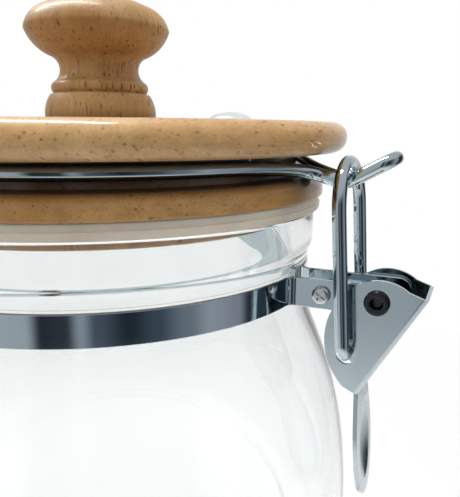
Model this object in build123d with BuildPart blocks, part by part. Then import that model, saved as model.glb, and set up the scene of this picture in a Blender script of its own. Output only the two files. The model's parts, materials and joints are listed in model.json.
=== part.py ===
from build123d import *
import math
import os

os.makedirs("parts", exist_ok=True)

# A clear glass jar with a turned beech lid. A steel band round the neck carries the front clamp and the
# rear hinge, and a wire bail that sits in the lid's groove joins the lid to both.
# Millimetres. The origin is the middle of the base, +Z is up and the clamp faces +X.
# The neck's radius and the jar's height are the overall sizes: the lid, the wires and the clamp follow them.

# Glass jar
jar_height = 156.0
neck_outer_radius = 57.3
neck_wall = 5.3
shoulder_width = 11.2  # body beyond the neck
shoulder_height = 84.0  # lip to the top of the straight wall
shoulder_pull_low = 40.0  # how far the body's line carries on into the shoulder's curve
shoulder_pull_high = 10.0
glass_wall = 3.6
floor_thickness = 7.0
base_corner = 11.0
base_push_up = 1.6
foot_width = 7.0
lip_edge = 2.0
lip_straight = 3.0
bead_radius = 0.8
neck_flare = 0.3  # sideways run of the neck's line above the bead

# Neck band and its ears
strap_thickness = 0.9
strap_height = 6.9
strap_drop = 13.9  # lip to the strap's top edge
seat_depth = 2.1  # groove in the glass, in from the neck's outside
seat_gap = 0.1
seat_margin = 0.6  # groove above and below the strap
ear_inside = 4.5  # half the space between the two ears
ear_past_rivet = 5.7
ear_bend = 2.5
ear_round = 2.6

# Clamp screw that closes the band
clamp_screw_radius = 1.25
clamp_screw_reach = 7.4  # from the band
clamp_head_radius = 2.1
clamp_head_height = 1.3
clamp_head_edge = 0.78
clamp_slot_width = 0.6
clamp_slot_turn = 35.0
clamp_nut_across = 4.5
clamp_nut_height = 1.9
shank_proud = 0.4
thread_gap = 0.05

# Lever and its rivet
lever_plate = 0.8
channel_play = 0.45  # ear to the side plate
rivet_past_lid = 11.3
rivet_below_band_top = 3.4
rivet_radius = 2.0
rivet_wall = 0.75
rivet_rim_width = 0.8
rivet_rim_height = 0.8
running_gap = 0.05
side_gap = 0.1
channel_top_rise = 5.0  # rivet to the highest point of the side plates
channel_top_back = 0.1
channel_left = 11.3  # rivet to the side plates' bulge
channel_left_drop = 10.8
channel_back = 6.4
channel_back_rise = 1.9
channel_corner = 10.6  # rivet to the spine's upper end
channel_corner_rise = 1.6
brow_run = 3.9
brow_rise = 1.365
channel_foot_in = 3.2  # rivet to the spine's lower end
channel_foot_drop = 22.5
channel_foot_width = 3.5
channel_foot_rise = 1.6
spine_bend = 1.2
pad_length = 27.8
pad_width = 16.4
pad_widest = 14.0  # below the channel
pad_neck_narrowing = 1.35  # in from the channel's outside
pad_root = 1.0  # pad outline carried up into the channel
pad_flare = 0.2  # sideways run of the pad's edge at its neck
pad_fullness = 0.6  # share of the way each side keeps straight towards the tip's corners
pad_thickness = 1.0
pad_lean = 4.5  # degrees, outwards at the tip
dish_length = 19.0
dish_middle = 15.2  # below the channel
dish_width = 11.0
dish_depth = 1.5
dish_overrun = 0.55  # half length of the hollow's arc, as a share of the dish's length

# Wires
wire_radius = 1.55
link_spread = 3.85  # side plate to the link's centre line
link_bend = 3.0
link_inside = 1.3  # how far each end reaches inside the side plate
link_hole_play = 0.75
link_hole_in = 6.2  # from the rivet, towards the jar
link_hole_drop = 13.1

# Wooden lid
lid_overhang = 7.7  # beyond the neck
top_disc_thickness = 7.3
rim_flat = 0.2  # left straight on the round edge
groove_play = 2.5  # the groove's height over the wire's thickness
base_disc_overhang = 2.1  # beyond the neck
base_disc_thickness = 5.0
base_disc_round = 3.2
plug_clearance = 2.2  # to the neck's inside
plug_depth = 6.8  # below the underside of the lower disc
plug_edge = 1.5
seal_gap = 0.05

# Gasket
gasket_thickness = 3.5
gasket_overhang = 1.5  # beyond the neck
gasket_step = 0.7
gasket_gap = 0.1

# Knob and its screw
knob_foot_radius = 14.5
knob_foot_height = 7.3
knob_foot_undercut = 0.2
knob_foot_swell = 0.4  # widest point, as a share of the foot's height
foot_shoulder = 0.4  # foot's upper edge beyond the collar
foot_shoulder_drop = 0.3
collar_radius = 12.6
collar_height = 2.7
collar_groove = 0.6
collar_top_edge = 0.4
knob_neck_radius = 10.1
knob_neck_height = 6.9
knob_neck_flare_low = 1.7
knob_neck_start = 0.1
knob_neck_waist = 0.46  # narrowest point, as a share of the neck's height
knob_neck_flare_high = 2.5
knob_cap_radius = 18.5
knob_cap_under = 6.3
knob_cap_under_in = 2.26
knob_cap_under_share = 0.4
knob_cap_upper = 5.3
knob_cap_upper_in = 1.2
knob_cap_upper_share = 0.55
knob_crown_radius = 14.0
knob_crown_height = 3.2
knob_screw_radius = 2.4
knob_screw_head = 4.8
knob_screw_reach = 18.0  # into the knob
knob_hole_spare = 1.0
screw_gap = 0.05
countersink_angle = 90.0
hex_socket_across = 3.0
hex_socket_depth = 2.0

# Wire bail: the ring in the lid's groove, the front tongue and the rear arms
bail_inset = 5.4  # in from the lower disc's edge
bail_below_disc = 0.85  # wire to the upper disc
bail_fit = 0.15
tongue_half_width = 3.1
tongue_leave = 30.0  # degrees off the clamp where the wire leaves the ring
crook_past_lid = 2.4
tongue_run_out = 10.1
tongue_clearance = 3.1  # lower disc's edge to the start of the tongue
tongue_dip = 16.0
tongue_rise = 29.0
tongue_bend = 5.0
tongue_drop = 2.3  # start of the tongue under the ring's plane
tongue_ease_in = 12.0  # how softly the wire leaves the ring
tongue_ease_out = 6.0
hook_gap = 0.4  # link over the crook
arm_half_width = 14.0
arm_bend = 5.0
arm_corner = 4.0
pin_reach = 2.0  # from the middle to each wire end

# Rear hinge bracket
hinge_past_lid = 3.0
hinge_above_band = 3.4
barrel_wall = 0.9
barrel_bite = 0.3  # leaf into the barrel
bracket_half_width = 10.0
bracket_leaf = 0.9
saddle_bite = 0.2  # leaf into the saddle
weld_gap = 0.05

# Vent
vent_inset = 12.8  # in from the plug's edge
vent_angle = 45.0
vent_cap_radius = 7.0
vent_cap_height = 3.3
vent_flange = 1.0
vent_stem_radius = 3.2
vent_bore = 1.5
vent_gap = 0.1
flap_radius = 6.0
flap_thickness = 0.9
flap_stem_radius = 1.4
flap_stem_length = 8.0

# How far a cutting shape runs past the piece it cuts
cut_past = 1.0
web_cut_past = 9.0
channel_cut_depth = 30.0

# Radii and reaches that follow the neck
body_radius = neck_outer_radius + shoulder_width
neck_inner_radius = neck_outer_radius - neck_wall
strap_seat = neck_outer_radius - seat_depth
strap_inner = strap_seat + seat_gap
strap_outer = strap_inner + strap_thickness
strap_middle = strap_inner + strap_thickness / 2
gasket_radius = neck_outer_radius + gasket_overhang
plug_radius = neck_inner_radius - plug_clearance
base_disc_radius = neck_outer_radius + base_disc_overhang
lid_radius = neck_outer_radius + lid_overhang
bail_radius = base_disc_radius - bail_inset
waist_radius = bail_radius - wire_radius - bail_fit
vent_radius = plug_radius - vent_inset
tongue_crook = lid_radius + crook_past_lid
tongue_start = base_disc_radius + tongue_clearance
tongue_tip = tongue_crook + tongue_run_out
rivet_x = lid_radius + rivet_past_lid
ear_length = rivet_x + ear_past_rivet
clamp_screw_x = strap_outer + clamp_screw_reach
hinge_x = lid_radius + hinge_past_lid

# Heights that follow the jar
strap_top = jar_height - strap_drop
strap_bottom = strap_top - strap_height
seat_top = strap_top + seat_margin
seat_bottom = strap_bottom - seat_margin
body_top = jar_height - shoulder_height
gasket_bottom = jar_height + seal_gap
base_disc_bottom = gasket_bottom + gasket_thickness
base_disc_top = base_disc_bottom + base_disc_thickness
groove_height = 2 * wire_radius + groove_play
top_disc_bottom = base_disc_top + groove_height
lid_top = top_disc_bottom + top_disc_thickness
plug_bottom = base_disc_bottom - plug_depth
rivet_z = strap_top - rivet_below_band_top
bail_z = top_disc_bottom - wire_radius - bail_below_disc
hinge_z = strap_top + hinge_above_band
clamp_screw_z = (strap_top + strap_bottom) / 2
start_z = bail_z - tongue_drop
crook_z = start_z - (tongue_crook - tongue_start) * math.tan(math.radians(tongue_dip))

# Widths across the clamp
ear_outside = ear_inside + strap_thickness
lever_inside = ear_outside + channel_play
lever_outside = lever_inside + lever_plate
pad_neck_width = 2 * (lever_outside - pad_neck_narrowing)
link_half_width = lever_outside + link_spread
rivet_bore = rivet_radius - rivet_wall
rivet_rim = rivet_radius + rivet_rim_width
link_hole_radius = wire_radius + link_hole_play
link_hole_x = rivet_x - link_hole_in
link_hole_z = rivet_z - link_hole_drop


def rim(piece, radius, height):
    """The circular edges of a turned piece at one radius and height."""
    return piece.edges().filter_by(
        lambda e: e.geom_type == GeomType.CIRCLE
        and abs(e.radius - radius) < 0.01
        and abs(e.arc_center.Z - height) < 0.01
    )


def cap_sphere(radius, height):
    """The radius of the sphere whose cap has this radius and height."""
    return (radius**2 + height**2) / (2 * height)


# Glass jar: turned outline, outside then inside, with a groove for the band
inner_body_radius = body_radius - glass_wall
push_up_radius = body_radius - base_corner - foot_width
inner_corner = base_corner - glass_wall
lip_start = jar_height - lip_edge
with BuildPart() as glass_jar:
    with BuildSketch(Plane.XZ):
        with BuildLine():
            Polyline((0, floor_thickness), (0, base_push_up), (push_up_radius, base_push_up))
            Line((push_up_radius, base_push_up), (push_up_radius + base_push_up, 0))
            Line((push_up_radius + base_push_up, 0), (body_radius - base_corner, 0))
            RadiusArc((body_radius - base_corner, 0), (body_radius, base_corner), -base_corner)
            Line((body_radius, base_corner), (body_radius, body_top))
            Bezier(
                (body_radius, body_top),
                (body_radius, body_top + shoulder_pull_low),
                (strap_seat, seat_bottom - shoulder_pull_high),
                (strap_seat, seat_bottom),
            )
            Line((strap_seat, seat_bottom), (strap_seat, seat_top))
            RadiusArc((strap_seat, seat_top), (strap_seat + bead_radius, seat_top + bead_radius), -bead_radius)
            Spline(
                (strap_seat + bead_radius, seat_top + bead_radius),
                (neck_outer_radius, lip_start - lip_straight),
                tangents=((neck_flare, 1), (0, 1)),
            )
            Line((neck_outer_radius, lip_start - lip_straight), (neck_outer_radius, lip_start))
            RadiusArc((neck_outer_radius, lip_start), (neck_outer_radius - lip_edge, jar_height), -lip_edge)
            Line((neck_outer_radius - lip_edge, jar_height), (neck_inner_radius + lip_edge, jar_height))
            RadiusArc((neck_inner_radius + lip_edge, jar_height), (neck_inner_radius, lip_start), -lip_edge)
            Line((neck_inner_radius, lip_start), (neck_inner_radius, seat_bottom))
            Bezier(
                (neck_inner_radius, seat_bottom),
                (neck_inner_radius, seat_bottom - shoulder_pull_high - glass_wall / 2),
                (inner_body_radius, body_top + shoulder_pull_low - glass_wall / 2),
                (inner_body_radius, body_top),
            )
            Line((inner_body_radius, body_top), (inner_body_radius, floor_thickness + inner_corner))
            RadiusArc(
                (inner_body_radius, floor_thickness + inner_corner),
                (inner_body_radius - inner_corner, floor_thickness),
                inner_corner,
            )
            Line((inner_body_radius - inner_corner, floor_thickness), (0, floor_thickness))
        make_face()
    revolve(axis=Axis.Z)
glass_jar.part.label = "glass_jar"
export_step(glass_jar.part, "parts/glass_jar.step")


# Neck band: one strap round the neck, whose two ends turn out into parallel ears
ear_middle = ear_inside + strap_thickness / 2
bend_x = math.sqrt((strap_middle + ear_bend) ** 2 - (ear_middle + ear_bend) ** 2)
bend_angle = math.atan2(ear_middle + ear_bend, bend_x)
strap_start = (strap_middle * math.cos(bend_angle), strap_middle * math.sin(bend_angle))
strap_turn = 360 - 2 * math.degrees(bend_angle)
with BuildPart() as neck_band:
    with BuildSketch(Plane.XY.offset(strap_bottom)):
        with BuildLine():
            Line((ear_length, ear_middle), (bend_x, ear_middle))
            RadiusArc((bend_x, ear_middle), strap_start, -ear_bend)
            CenterArc((0, 0), strap_middle, math.degrees(bend_angle), strap_turn)
            RadiusArc((strap_start[0], -strap_start[1]), (bend_x, -ear_middle), -ear_bend)
            Line((bend_x, -ear_middle), (ear_length, -ear_middle))
            offset(amount=strap_thickness / 2)
        make_face()
    extrude(amount=strap_height)
    with BuildSketch(Plane.XZ):
        with Locations((rivet_x, rivet_z)):
            Circle(rivet_radius + running_gap)
        with Locations((clamp_screw_x, clamp_screw_z)):
            Circle(clamp_screw_radius + thread_gap)
    extrude(amount=ear_outside + cut_past, both=True, mode=Mode.SUBTRACT)
    with BuildSketch(Plane.XZ):
        with Locations((ear_length, clamp_screw_z)):
            Rectangle(2 * ear_round, strap_height + 2 * cut_past)
        with Locations((ear_length - 1.5 * ear_round, clamp_screw_z)):
            RectangleRounded(3 * ear_round, strap_height, ear_round, mode=Mode.SUBTRACT)
    extrude(amount=ear_outside + cut_past, both=True, mode=Mode.SUBTRACT)
neck_band.part.label = "neck_band"
export_step(neck_band.part, "parts/neck_band.step")


# Clamp screw: pan head on the near ear, plain shank, with a slot
shank_end = ear_outside + clamp_nut_height + shank_proud
with BuildPart() as clamp_screw:
    with BuildSketch(Plane.XZ.offset(ear_outside)):
        with Locations((clamp_screw_x, clamp_screw_z)):
            Circle(clamp_head_radius)
    extrude(amount=clamp_head_height)
    fillet(clamp_screw.faces().sort_by(Axis.Y)[0].edges(), clamp_head_edge)
    with BuildSketch(Plane.XZ.offset(ear_outside)):
        with Locations((clamp_screw_x, clamp_screw_z)):
            Circle(clamp_screw_radius)
    extrude(amount=-(ear_outside + shank_end))
    with BuildSketch(Plane.XZ.offset(ear_outside + clamp_head_height / 2)):
        with Locations((clamp_screw_x, clamp_screw_z)):
            Rectangle(3 * clamp_head_radius, clamp_slot_width, rotation=clamp_slot_turn)
    extrude(amount=clamp_head_height, mode=Mode.SUBTRACT)
clamp_screw.part.label = "clamp_screw"
export_step(clamp_screw.part, "parts/clamp_screw.step")


# Clamp nut on the far ear
with BuildPart() as clamp_nut:
    with BuildSketch(Plane.XZ.offset(-ear_outside)):
        with Locations((clamp_screw_x, clamp_screw_z)):
            RegularPolygon(clamp_nut_across / 2, 6, major_radius=False)
            Circle(clamp_screw_radius + thread_gap, mode=Mode.SUBTRACT)
    extrude(amount=-clamp_nut_height)
clamp_nut.part.label = "clamp_nut"
export_step(clamp_nut.part, "parts/clamp_nut.step")


# Lever rivet: hollow, with a rolled rim outside each side plate
rim_face = lever_outside + side_gap
rim_round = rivet_rim_height / 2
rim_end = rim_face + rivet_rim_height
rim_start = rivet_rim - rim_round
with BuildPart() as lever_rivet:
    with BuildSketch(Plane((rivet_x, 0, rivet_z), x_dir=(1, 0, 0), z_dir=(0, 0, 1))):
        with BuildLine():
            Polyline((rim_start, -rim_end), (rivet_bore, -rim_end), (rivet_bore, rim_end))
            Line((rivet_bore, rim_end), (rim_start, rim_end))
            ThreePointArc((rim_start, rim_end), (rivet_rim, rim_face + rim_round), (rim_start, rim_face))
            Polyline((rim_start, rim_face), (rivet_radius, rim_face), (rivet_radius, -rim_face))
            Line((rivet_radius, -rim_face), (rim_start, -rim_face))
            ThreePointArc((rim_start, -rim_face), (rivet_rim, -rim_face - rim_round), (rim_start, -rim_end))
        make_face()
    revolve(axis=Axis((rivet_x, 0, rivet_z), (0, 1, 0)))
lever_rivet.part.label = "lever_rivet"
export_step(lever_rivet.part, "parts/lever_rivet.step")


# Lever: a folded channel round the ears, whose spine runs on into a dished oval thumb pad
corner = (rivet_x + channel_corner, rivet_z + channel_corner_rise)
brow = (corner[0] - brow_run, corner[1] + brow_rise)
nape = (rivet_x - channel_back, rivet_z + channel_back_rise)
foot = (rivet_x - channel_foot_in, rivet_z - channel_foot_drop)
heel = (foot[0] - channel_foot_width, foot[1] + channel_foot_rise)
spine = Vector(foot[0] - corner[0], foot[1] - corner[1]).normalized()
inward = Vector(spine.Y, -spine.X)
pad_plane = Plane(
    (foot[0], 0, foot[1]),
    x_dir=(0, 1, 0),
    z_dir=(math.cos(math.radians(pad_lean)), 0, math.sin(math.radians(pad_lean))),
)
dish_plane = Plane(pad_plane.from_local_coords((0, -dish_middle, 0)), x_dir=pad_plane.z_dir, z_dir=(0, -1, 0))


def dish_lens(wall):
    """The dish's hollow in the pad, or with a wall, the outside of the dish behind it."""
    along = (dish_length**2 / 4 + dish_depth**2) / (2 * dish_depth)
    across = (dish_width**2 / 4 + dish_depth**2) / (2 * dish_depth)
    middle = across - dish_depth
    reach = math.degrees(math.asin(dish_overrun * dish_length / along))
    with BuildPart() as lens:
        with BuildSketch(dish_plane):
            with BuildLine():
                arc = CenterArc((along - dish_depth, 0), along + wall, 180 - reach, 2 * reach)
                Polyline(arc @ 1, (middle, (arc @ 1).Y), (middle, (arc @ 0).Y), arc @ 0)
            make_face()
        revolve(axis=Axis(dish_plane.from_local_coords((middle, 0, 0)), dish_plane.y_dir))
    return lens.part


def pad_sheet(thickness):
    """The pad's outline as a flat sheet behind its front face."""
    side = pad_width / 2
    root = pad_neck_width / 2
    with BuildPart() as sheet:
        with BuildSketch(pad_plane):
            with BuildLine():
                Spline((root, pad_root), (side, -pad_widest), tangents=((pad_flare, -1), (0, -1)))
                Bezier(
                    (side, -pad_widest),
                    (side, -pad_widest - pad_fullness * (pad_length - pad_widest)),
                    (pad_fullness * side, -pad_length),
                    (0, -pad_length),
                )
                mirror(about=Plane.YZ)
                Line((-root, pad_root), (root, pad_root))
            make_face()
        extrude(amount=-thickness)
    return sheet.part


with BuildPart() as pad_blank:
    add(pad_sheet(pad_thickness + dish_depth + cut_past))
    add(dish_lens(pad_thickness), mode=Mode.INTERSECT)

with BuildPart() as lever:
    with BuildSketch(Plane.XZ):
        with BuildLine():
            ThreePointArc(nape, (rivet_x - channel_top_back, rivet_z + channel_top_rise), brow)
            Polyline(brow, corner, foot, heel)
            ThreePointArc(heel, (rivet_x - channel_left, rivet_z - channel_left_drop), nape)
        make_face()
    extrude(amount=lever_outside, both=True)
    spine_edges = lever.edges().filter_by(lambda e: abs((e % 0.5).dot(Vector(spine.X, 0, spine.Y))) > 0.999)
    fillet(spine_edges, spine_bend)
    web_top = Vector(*corner) + inward * lever_plate
    web_foot = Vector(*foot) + inward * lever_plate
    with BuildSketch(Plane.XZ):
        with BuildLine():
            Polyline(
                web_top - spine * web_cut_past,
                web_foot + spine * web_cut_past,
                web_foot + spine * web_cut_past + inward * channel_cut_depth,
                web_top - spine * web_cut_past + inward * channel_cut_depth,
                close=True,
            )
        make_face()
    extrude(amount=lever_inside, both=True, mode=Mode.SUBTRACT)
    add(pad_sheet(pad_thickness))
    add(pad_blank.part)
    add(dish_lens(0), mode=Mode.SUBTRACT)
    with BuildSketch(Plane.XZ):
        with Locations((rivet_x, rivet_z)):
            Circle(rivet_radius + running_gap)
        with Locations((link_hole_x, link_hole_z)):
            Circle(link_hole_radius)
    extrude(amount=lever_outside + cut_past, both=True, mode=Mode.SUBTRACT)
lever.part.label = "lever"
export_step(lever.part, "parts/lever.step")


# Link wire: an arch over the bail's tongue, with both feet turned in through the lever's side plates
link_foot = Vector(link_hole_x, 0, link_hole_z + link_hole_radius - wire_radius - running_gap)
crook_lift = tongue_bend * (1 / math.cos(math.radians(tongue_dip + tongue_rise) / 2) - 1)
arch_drop = link_half_width - math.sqrt(link_half_width**2 - tongue_half_width**2)
hook_rise = (2 * wire_radius + hook_gap) / math.cos(math.asin(tongue_half_width / link_half_width))
link_top = Vector(tongue_crook, 0, crook_z + crook_lift + arch_drop + hook_rise)
arch_start = (link_top - link_foot).length - link_half_width
link_plane = Plane(link_foot, x_dir=(0, 1, 0), z_dir=(link_top - link_foot).cross(Vector(0, 1, 0)) * -1)
link_end = lever_inside - link_inside
with BuildPart() as link_wire:
    with BuildLine(link_plane) as link_path:
        FilletPolyline((-link_end, 0), (-link_half_width, 0), (-link_half_width, arch_start), radius=link_bend)
        CenterArc((0, arch_start), link_half_width, 0, 180)
        FilletPolyline((link_half_width, arch_start), (link_half_width, 0), (link_end, 0), radius=link_bend)
    with BuildSketch(Plane(link_path.wire() @ 0, z_dir=link_path.wire() % 0)):
        Circle(wire_radius)
    sweep(path=link_path.wire())
link_wire.part.label = "link_wire"
export_step(link_wire.part, "parts/link_wire.step")


# Wire bail: pin ends in the hinge barrel, rear arms, the ring in the lid's groove and the front tongue
arm_x = math.sqrt((bail_radius + arm_bend) ** 2 - (arm_half_width + arm_bend) ** 2)
arm_angle = math.atan2(arm_half_width + arm_bend, arm_x)
ring_start = (-bail_radius * math.cos(arm_angle), bail_radius * math.sin(arm_angle), bail_z)
ring_angle = 180 - math.degrees(arm_angle)
leave = math.radians(tongue_leave)
ring_end = Vector(bail_radius * math.cos(leave), bail_radius * math.sin(leave), bail_z)
tip_z = crook_z + (tongue_tip - tongue_crook) * math.tan(math.radians(tongue_rise))
turn_x = tongue_tip - tongue_half_width * math.cos(math.radians(tongue_rise))
turn_z = tip_z - tongue_half_width * math.sin(math.radians(tongue_rise))
tongue_in = Vector(-math.cos(math.radians(tongue_dip)), 0, math.sin(math.radians(tongue_dip)))
with BuildPart() as bail_ring:
    with BuildLine() as bail_path:
        FilletPolyline(
            (-hinge_x, pin_reach, hinge_z),
            (-hinge_x, arm_half_width, hinge_z),
            (-hinge_x, arm_half_width, bail_z),
            (-arm_x, arm_half_width, bail_z),
            radius=arm_corner,
        )
        ThreePointArc(
            (-arm_x, arm_half_width, bail_z),
            (
                -arm_x + arm_bend * math.sin((math.pi / 2 - arm_angle) / 2),
                arm_half_width + arm_bend - arm_bend * math.cos((math.pi / 2 - arm_angle) / 2),
                bail_z,
            ),
            ring_start,
        )
        CenterArc((0, 0, bail_z), bail_radius, ring_angle, tongue_leave - ring_angle)
        tongue_foot = Vector(tongue_start, tongue_half_width, start_z)
        Bezier(
            ring_end,
            ring_end + Vector(math.sin(leave), -math.cos(leave), 0) * tongue_ease_in,
            tongue_foot + tongue_in * tongue_ease_out,
            tongue_foot,
        )
        FilletPolyline(
            (tongue_start, tongue_half_width, start_z),
            (tongue_crook, tongue_half_width, crook_z),
            (turn_x, tongue_half_width, turn_z),
            radius=tongue_bend,
        )
        ThreePointArc(
            (turn_x, tongue_half_width, turn_z),
            (
                turn_x + tongue_half_width * math.sqrt(0.5) * math.cos(math.radians(tongue_rise)),
                tongue_half_width * math.sqrt(0.5),
                turn_z + tongue_half_width * math.sqrt(0.5) * math.sin(math.radians(tongue_rise)),
            ),
            (tongue_tip, 0, tip_z),
        )
        mirror(about=Plane.XZ)
    with BuildSketch(Plane((-hinge_x, pin_reach, hinge_z), z_dir=(0, 1, 0))):
        Circle(wire_radius)
    sweep(path=bail_path.wire())
bail_ring.part.label = "bail_ring"
export_step(bail_ring.part, "parts/bail_ring.step")


# Hinge bracket: a curved saddle welded to the band, a leaf and the rolled barrel
barrel_radius = wire_radius + running_gap + barrel_wall
saddle_inner = strap_outer + weld_gap
with BuildPart() as hinge_bracket:
    with BuildSketch(Plane.XY.offset(strap_bottom)):
        Circle(saddle_inner + bracket_leaf)
        Circle(saddle_inner, mode=Mode.SUBTRACT)
        with Locations((-saddle_inner, 0)):
            Rectangle(saddle_inner, 2 * bracket_half_width, mode=Mode.INTERSECT)
    extrude(amount=strap_height)
    with BuildSketch(Plane.XZ):
        with BuildLine():
            Polyline(
                (-saddle_inner - saddle_bite, strap_top - bracket_leaf),
                (-saddle_inner - saddle_bite, strap_top),
                (-hinge_x + barrel_bite, hinge_z - barrel_radius + bracket_leaf),
                (-hinge_x, hinge_z - barrel_radius),
                close=True,
            )
        make_face()
        with Locations((-hinge_x, hinge_z)):
            Circle(barrel_radius)
    extrude(amount=bracket_half_width, both=True)
    with BuildSketch(Plane.XZ):
        with Locations((-hinge_x, hinge_z)):
            Circle(wire_radius + running_gap)
    extrude(amount=bracket_half_width + cut_past, both=True, mode=Mode.SUBTRACT)
hinge_bracket.part.label = "hinge_bracket"
export_step(hinge_bracket.part, "parts/hinge_bracket.step")


# Upper disc of the lid, with a full round edge
vent_place = (
    vent_radius * math.cos(math.radians(vent_angle)),
    vent_radius * math.sin(math.radians(vent_angle)),
)
with BuildPart() as lid_top_disc:
    with BuildSketch(Plane.XY.offset(top_disc_bottom)):
        Circle(lid_radius)
        Circle(knob_screw_radius + screw_gap, mode=Mode.SUBTRACT)
        with Locations(vent_place):
            Circle(vent_stem_radius + vent_gap, mode=Mode.SUBTRACT)
    extrude(amount=top_disc_thickness)
    fillet(rim(lid_top_disc, lid_radius, top_disc_bottom), (top_disc_thickness - rim_flat) / 2)
    fillet(rim(lid_top_disc, lid_radius, lid_top), (top_disc_thickness - rim_flat) / 2)
lid_top_disc.part.label = "lid_top_disc"
export_step(lid_top_disc.part, "parts/lid_top_disc.step")


# Lower disc, turned in one piece with the waist above it and the plug below it
with BuildPart() as lid_base_disc:
    with BuildSketch(Plane.XY.offset(base_disc_bottom)):
        Circle(base_disc_radius)
    extrude(amount=base_disc_thickness)
    with BuildSketch(Plane.XY.offset(base_disc_top)):
        Circle(waist_radius)
    extrude(amount=groove_height)
    with BuildSketch(Plane.XY.offset(base_disc_bottom)):
        Circle(plug_radius)
    extrude(amount=-plug_depth)
    fillet(rim(lid_base_disc, base_disc_radius, base_disc_top), base_disc_round)
    fillet(rim(lid_base_disc, plug_radius, plug_bottom), plug_edge)
    with Locations(Plane((0, 0, plug_bottom), z_dir=(0, 0, -1))):
        CounterSinkHole(
            knob_screw_radius + screw_gap, knob_screw_head + screw_gap, counter_sink_angle=countersink_angle
        )
    with BuildSketch(Plane.XY.offset(plug_bottom)):
        with Locations(vent_place):
            Circle(vent_stem_radius + vent_gap)
    extrude(amount=lid_top - plug_bottom, mode=Mode.SUBTRACT)
lid_base_disc.part.label = "lid_base_disc"
export_step(lid_base_disc.part, "parts/lid_base_disc.step")


# Gasket: a flat silicone ring round the plug, stepped at its outer edge
with BuildPart() as gasket:
    with BuildSketch(Plane.XY.offset(gasket_bottom)):
        Circle(gasket_radius)
        Circle(plug_radius + gasket_gap, mode=Mode.SUBTRACT)
    extrude(amount=gasket_thickness / 2)
    with BuildSketch(Plane.XY.offset(gasket_bottom + gasket_thickness / 2)):
        Circle(gasket_radius - gasket_step)
        Circle(plug_radius + gasket_gap, mode=Mode.SUBTRACT)
    extrude(amount=gasket_thickness / 2)
    fillet(rim(gasket, gasket_radius, gasket_bottom), gasket_step)
gasket.part.label = "gasket"
export_step(gasket.part, "parts/gasket.step")


# Knob: turned foot, collar, waist and mushroom cap
collar_foot = lid_top + knob_foot_height
collar_top = collar_foot + collar_height
knob_neck_top = collar_top + knob_neck_height
cap_widest = knob_neck_top + knob_cap_under
crown_edge = cap_widest + knob_cap_upper
knob_top = crown_edge + knob_crown_height
crown_sphere = cap_sphere(knob_crown_radius, knob_crown_height)
foot_bottom = (knob_foot_radius - knob_foot_undercut, lid_top)
foot_swell_z = lid_top + knob_foot_height * knob_foot_swell
foot_top = (collar_radius + foot_shoulder, collar_foot - foot_shoulder_drop)
collar_bottom = (collar_radius - collar_groove, collar_foot)
collar_edge = (collar_radius - collar_top_edge, collar_top)
neck_bottom = (knob_neck_radius + knob_neck_flare_low, collar_top + knob_neck_start)
neck_top = (knob_neck_radius + knob_neck_flare_high, knob_neck_top)
with BuildPart() as knob:
    with BuildSketch(Plane.XZ):
        with BuildLine():
            Line((0, lid_top), foot_bottom)
            ThreePointArc(foot_bottom, (knob_foot_radius, foot_swell_z), foot_top)
            Line(foot_top, collar_bottom)
            ThreePointArc(collar_bottom, (collar_radius, collar_foot + collar_height / 2), collar_edge)
            Line(collar_edge, neck_bottom)
            ThreePointArc(
                neck_bottom, (knob_neck_radius, collar_top + knob_neck_height * knob_neck_waist), neck_top
            )
            ThreePointArc(
                neck_top,
                (knob_cap_radius - knob_cap_under_in, knob_neck_top + knob_cap_under * knob_cap_under_share),
                (knob_cap_radius, cap_widest),
            )
            ThreePointArc(
                (knob_cap_radius, cap_widest),
                (knob_cap_radius - knob_cap_upper_in, cap_widest + knob_cap_upper * knob_cap_upper_share),
                (knob_crown_radius, crown_edge),
            )
            RadiusArc((knob_crown_radius, crown_edge), (0, knob_top), -crown_sphere)
            Line((0, knob_top), (0, lid_top))
        make_face()
    revolve(axis=Axis.Z)
    with Locations(Plane((0, 0, lid_top), z_dir=(0, 0, -1))):
        Hole(knob_screw_radius + screw_gap, depth=knob_screw_reach + knob_hole_spare)
knob.part.label = "knob"
export_step(knob.part, "parts/knob.step")


# Knob screw: countersunk under the plug, through both discs into the knob
screw_head_height = knob_screw_head - knob_screw_radius
with BuildPart() as knob_screw:
    with BuildSketch(Plane.XZ):
        with BuildLine():
            Polyline(
                (0, plug_bottom),
                (knob_screw_head, plug_bottom),
                (knob_screw_radius, plug_bottom + screw_head_height),
                (knob_screw_radius, lid_top + knob_screw_reach - knob_screw_radius),
                (0, lid_top + knob_screw_reach),
                close=True,
            )
        make_face()
    revolve(axis=Axis.Z)
    with BuildSketch(Plane.XY.offset(plug_bottom)):
        RegularPolygon(hex_socket_across / 2, 6, major_radius=False)
    extrude(amount=hex_socket_depth, mode=Mode.SUBTRACT)
knob_screw.part.label = "knob_screw"
export_step(knob_screw.part, "parts/knob_screw.step")


# Vent cap: low dome on the lid, with a bored stem down to the underside of the plug
with BuildPart() as vent_cap:
    with BuildSketch(Plane((*vent_place, 0), x_dir=(1, 0, 0), z_dir=(0, -1, 0))):
        with BuildLine():
            Polyline(
                (vent_bore, plug_bottom),
                (vent_stem_radius, plug_bottom),
                (vent_stem_radius, lid_top),
                (vent_cap_radius, lid_top),
                (vent_cap_radius, lid_top + vent_flange),
            )
            RadiusArc(
                (vent_cap_radius, lid_top + vent_flange),
                (0, lid_top + vent_cap_height),
                -cap_sphere(vent_cap_radius, vent_cap_height - vent_flange),
            )
            Polyline((0, lid_top + vent_cap_height), (0, lid_top), (vent_bore, lid_top))
            Line((vent_bore, lid_top), (vent_bore, plug_bottom))
        make_face()
    revolve(axis=Axis((*vent_place, 0), (0, 0, 1)))
vent_cap.part.label = "vent_cap"
export_step(vent_cap.part, "parts/vent_cap.step")


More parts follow.
